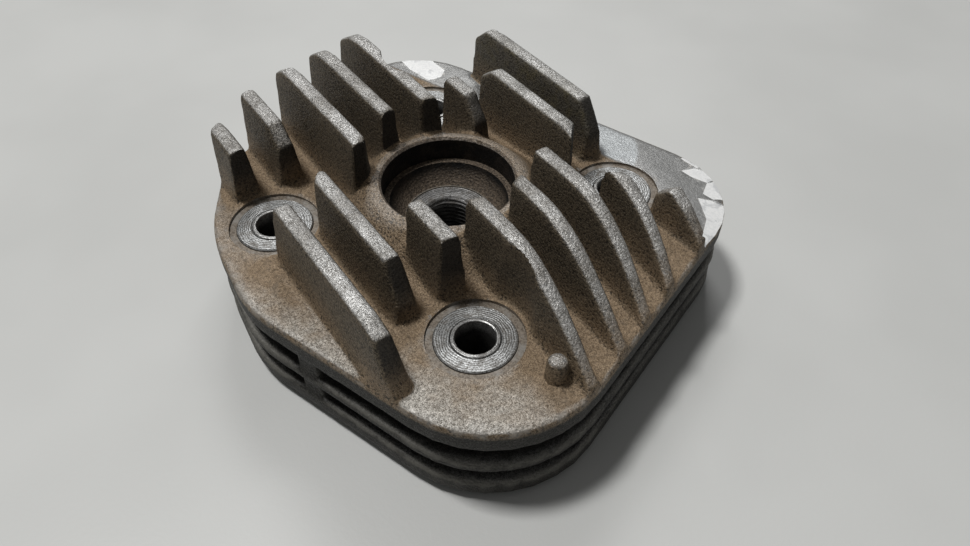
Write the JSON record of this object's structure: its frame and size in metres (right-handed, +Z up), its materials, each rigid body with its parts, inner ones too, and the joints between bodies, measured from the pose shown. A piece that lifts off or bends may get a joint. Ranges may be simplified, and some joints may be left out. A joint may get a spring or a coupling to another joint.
{
  "type": "cylinder head",
  "caption": "Air-cooled cylinder head: finned casting on horizontal cooling plates, with a spark plug pocket and a square of sleeved stud holes.",
  "frame": {"origin": "on the spark plug's axis, on the plane that the head stands on, which is the underside of its fire ring", "axes": "+Z up the spark plug's axis, away from the combustion chamber; +X and +Y along the sides of the square of stud holes, with +X along the plates' longer side"},
  "size_m": [0.0926, 0.0846, 0.0356],
  "materials": {
    "cast_aluminium": "rough sand casting, dark and dirty, worn bright along the fin crowns",
    "bush_metal": "turned face with fine rings, dull",
    "washer_metal": "turned, bright and scuffed",
    "sleeve_metal": "drawn tube, satin",
    "ring_metal": "dull copper, discoloured by heat"
  },
  "bodies": {
    "root": {"head_casting": "cast_aluminium", "plug_thread_bush": "bush_metal", "fire_ring": "ring_metal", "stud_washer_front": "washer_metal", "stud_washer_right": "washer_metal", "stud_washer_back": "washer_metal", "stud_washer_left": "washer_metal", "stud_sleeve_front": "sleeve_metal", "stud_sleeve_right": "sleeve_metal", "stud_sleeve_back": "sleeve_metal", "stud_sleeve_left": "sleeve_metal"}
  },
  "joints": []
}
